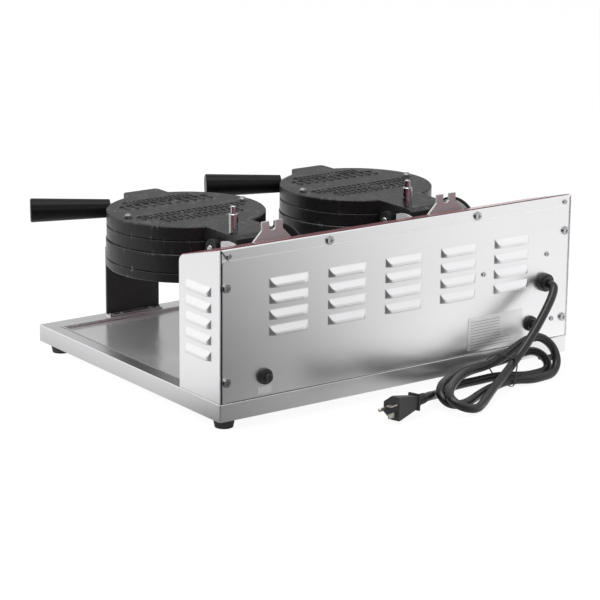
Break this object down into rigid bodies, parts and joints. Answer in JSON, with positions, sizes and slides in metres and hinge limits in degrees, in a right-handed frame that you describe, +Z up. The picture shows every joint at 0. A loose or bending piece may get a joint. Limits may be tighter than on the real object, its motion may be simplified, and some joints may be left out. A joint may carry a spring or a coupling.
{
  "type": "double belgian waffle maker",
  "caption": "Countertop Belgian waffle maker: round hinged cast irons side by side on a stainless base with drip tray, rear control box and tied mains cord.",
  "frame": {"origin": "middle of the footprint of everything but the cord and its plug, on the surface that the feet stand on", "axes": "+X to the right seen from the front, +Y towards the control box at the rear, +Z up"},
  "size_m": [0.5812, 0.5783, 0.2421],
  "materials": {
    "stainless": "brushed",
    "tray_steel": "satin",
    "black_casting": "black coated casting, satin",
    "grid_casting": "dark non-stick casting",
    "bracket_steel": "satin",
    "leg_paint": "satin black",
    "chrome": "polished",
    "screw_steel": "plated",
    "burgundy": "gloss",
    "grip_plastic": "satin",
    "black_plastic": "matte",
    "rubber": "matte",
    "cord": "satin",
    "label": "matte film",
    "element": "heat-tinted",
    "brass": "plain",
    "lamp": "gloss",
    "white_plastic": "matte",
    "tie": "matte"
  },
  "bodies": {
    "chassis": {"base_pan": "stainless", "foot_pads": "rubber", "foot_screws": "screw_steel", "side_panel_right": "stainless", "side_panel_left": "stainless", "rear_panel": "stainless", "top_panel": "stainless", "fascia": "burgundy", "panel_screws": "screw_steel", "labels": "label", "breaker_right": "black_plastic", "breaker_left": "black_plastic", "strain_relief": "black_plastic", "terminal_block": "white_plastic", "relay": "black_plastic", "pilot_lamps": "lamp", "timer_bodies": "black_plastic", "switch_housings": "black_plastic", "iron_screws": "screw_steel", "hinge_washers": "screw_steel", "heater_leads": "element", "power_cord": "cord", "cord_bow": "cord", "cord_tie": "tie", "plug_body": "black_plastic", "plug_blades": "brass", "lower_plate_right": "grid_casting", "lower_cover_right": "black_casting", "lower_element_right": "element", "hinge_pin_right": "chrome", "hinge_bracket_right": "bracket_steel", "support_leg_right": "leg_paint", "lower_plate_left": "grid_casting", "lower_cover_left": "black_casting", "lower_element_left": "element", "hinge_pin_left": "chrome", "hinge_bracket_left": "bracket_steel", "support_leg_left": "leg_paint"},
    "lid_right": {"upper_cover_right": "black_casting", "upper_plate_right": "grid_casting", "upper_element_right": "element", "cover_bolts_right": "screw_steel", "lug_post_right": "chrome", "handle_grip_right": "grip_plastic", "handle_stud_right": "screw_steel"},
    "lid_left": {"upper_cover_left": "black_casting", "upper_plate_left": "grid_casting", "upper_element_left": "element", "cover_bolts_left": "screw_steel", "lug_post_left": "chrome", "handle_grip_left": "grip_plastic", "handle_stud_left": "screw_steel"},
    "tray": {"drip_tray": "tray_steel"},
    "knob_right": {"timer_knob_right": "black_plastic"},
    "knob_left": {"timer_knob_left": "black_plastic"},
    "rocker_right": {"power_rocker_right": "black_plastic"},
    "rocker_left": {"power_rocker_left": "black_plastic"},
    "button_right": {"reset_button_right": "black_plastic"},
    "button_left": {"reset_button_left": "black_plastic"}
  },
  "joints": [
    {"name": "lid_hinge_right", "type": "hinge", "parent": "chassis", "child": "lid_right", "pos_m": [0.13356, 0.0603, 0.1845], "axis": [-1, 0, 0], "range_deg": [0, 95]},
    {"name": "lid_hinge_left", "type": "hinge", "parent": "chassis", "child": "lid_left", "pos_m": [-0.14644, 0.0603, 0.1845], "axis": [-1, 0, 0], "range_deg": [0, 95]},
    {"name": "tray_lift", "type": "slide", "parent": "chassis", "child": "tray", "axis": [0, 0, 1], "range_m": [0, 0.06]},
    {"name": "timer_turn_right", "type": "hinge", "parent": "chassis", "child": "knob_right", "pos_m": [0.04556, 0.1303, 0.1565], "axis": [0, 1, 0], "range_deg": [0, 300]},
    {"name": "rocker_tip_right", "type": "hinge", "parent": "chassis", "child": "rocker_right", "pos_m": [0.01556, 0.1343, 0.1565], "axis": [-1, 0, 0], "range_deg": [0, 18]},
    {"name": "reset_push_right", "type": "slide", "parent": "chassis", "child": "button_right", "axis": [0, -1, 0], "range_m": [0, 0.0025], "stiffness_N_per_m": 300, "springref_m": -0.003},
    {"name": "timer_turn_left", "type": "hinge", "parent": "chassis", "child": "knob_left", "pos_m": [-0.05844, 0.1303, 0.1565], "axis": [0, 1, 0], "range_deg": [0, 300]},
    {"name": "rocker_tip_left", "type": "hinge", "parent": "chassis", "child": "rocker_left", "pos_m": [-0.02844, 0.1343, 0.1565], "axis": [-1, 0, 0], "range_deg": [0, 18]},
    {"name": "reset_push_left", "type": "slide", "parent": "chassis", "child": "button_left", "axis": [0, -1, 0], "range_m": [0, 0.0025], "stiffness_N_per_m": 300, "springref_m": -0.003}
  ]
}
